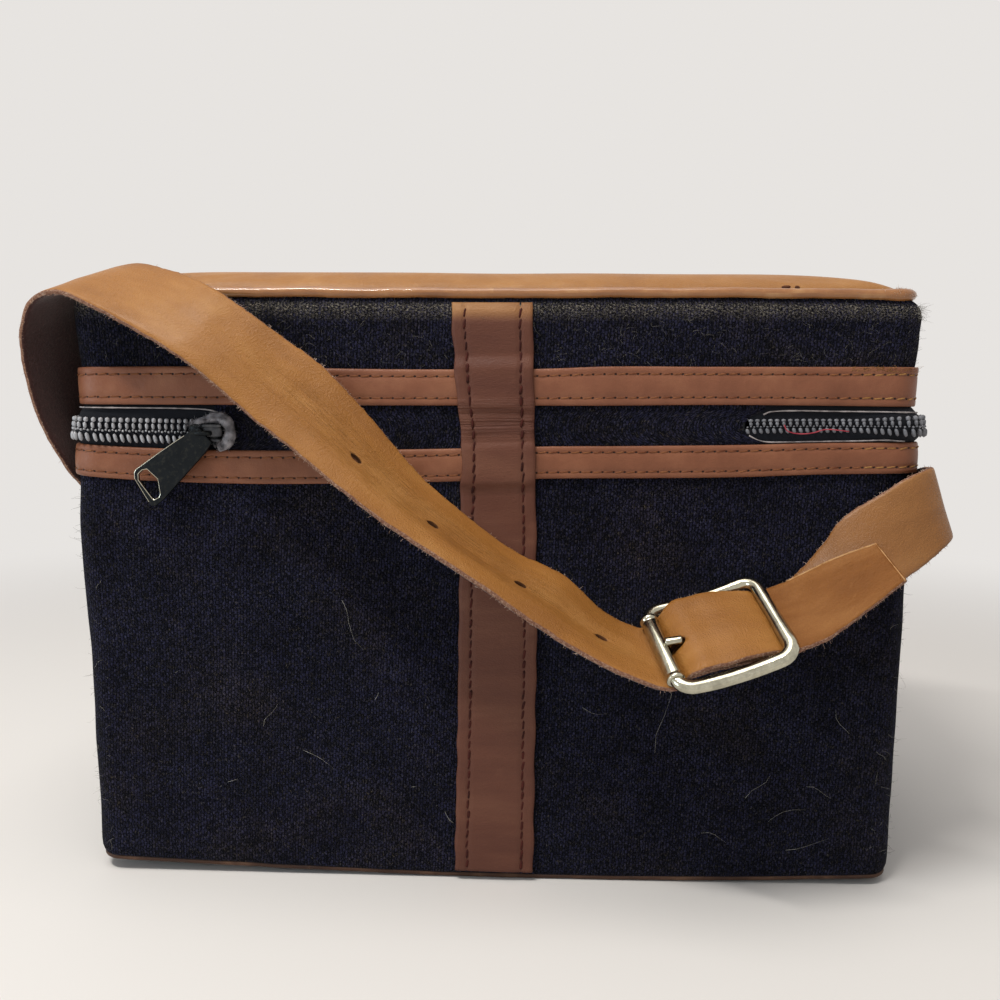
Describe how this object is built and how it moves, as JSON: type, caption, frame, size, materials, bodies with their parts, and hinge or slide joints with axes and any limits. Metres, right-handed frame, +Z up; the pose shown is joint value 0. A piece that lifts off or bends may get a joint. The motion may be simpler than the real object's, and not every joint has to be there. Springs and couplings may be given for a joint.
{
  "type": "camera case",
  "caption": "Box-shaped camera case of cloth and leather: zip-round lid hinged along one long face, padded top, and an adjustable buckled carrying strap.",
  "frame": {"origin": "middle of the base's resting face, on the surface that the case stands on", "axes": "+X along the case's width and its hinge, -Y out of the hinge face with the slot ends of the zip, +Z up through the padded top"},
  "size_m": [0.2947, 0.1588, 0.2039],
  "materials": {
    "tweed": "coarse woollen tweed, charcoal with olive flecks",
    "leather_strap": "thick tan hide, waxy grain side, dark suede back",
    "leather_top": "soft padded tan leather, satin",
    "leather_piping": "glossy tan piping",
    "leather_trim": "red-brown leather band with two rows of stitches",
    "leather_strip": "dark red-brown leather strip with two rows of stitches",
    "leather_base": "worn dark tan leather",
    "board": "stiff grey-brown fibre board",
    "lining": "soft napped dark red cloth",
    "foam": "soft open foam",
    "zip_tape": "black woven tape",
    "zip_teeth": "grey teeth with worn shine",
    "zip_metal": "dark gunmetal, bright where worn",
    "nickel": "nickel plate, slightly yellowed"
  },
  "bodies": {
    "case": {"base_panel": "leather_base", "base_piping": "leather_piping", "body_shell": "board", "body_cover": "tweed", "body_lining": "lining", "base_pad": "foam", "lower_trim_band": "leather_trim", "hinge_fabric": "tweed", "hinge_strip_body": "leather_strip", "zip_tape_lower": "zip_tape", "zip_tape_front_left": "zip_tape", "zip_tape_front_right": "zip_tape", "zip_teeth_lower": "zip_teeth", "zip_teeth_front_left": "zip_teeth", "zip_teeth_front_right": "zip_teeth", "zip_stops": "zip_metal", "strap_long": "leather_strap", "strap_short": "leather_strap", "strap_rivets": "nickel", "rivet_washers": "nickel", "buckle_frame": "nickel", "buckle_sleeve": "nickel", "buckle_stud": "nickel"},
    "lid": {"lid_shell": "board", "lid_cover": "tweed", "lid_lining": "lining", "top_panel": "leather_top", "top_padding": "foam", "top_piping": "leather_piping", "upper_trim_band": "leather_trim", "hinge_strip_lid": "leather_strip", "zip_tape_upper": "zip_tape", "zip_teeth_upper": "zip_teeth"},
    "zip_slider": {"zip_slider": "zip_metal", "zip_bridge": "zip_metal"},
    "zip_pull": {"zip_pull": "zip_metal"}
  },
  "joints": [
    {"name": "lid_hinge", "type": "hinge", "parent": "case", "child": "lid", "pos_m": [0, -0.06, 0.1578], "axis": [1, 0, 0], "range_deg": [0, 90], "deforming": ["strap_long"]},
    {"name": "zip_slide", "type": "slide", "parent": "case", "child": "zip_slider", "axis": [-1, 0, 0], "range_m": [0, 0.022]},
    {"name": "pull_flip", "type": "hinge", "parent": "zip_slider", "child": "zip_pull", "pos_m": [-0.0915, -0.0641, 0.1503], "axis": [-0.682, 0, 0.7314], "range_deg": [0, 90]}
  ]
}
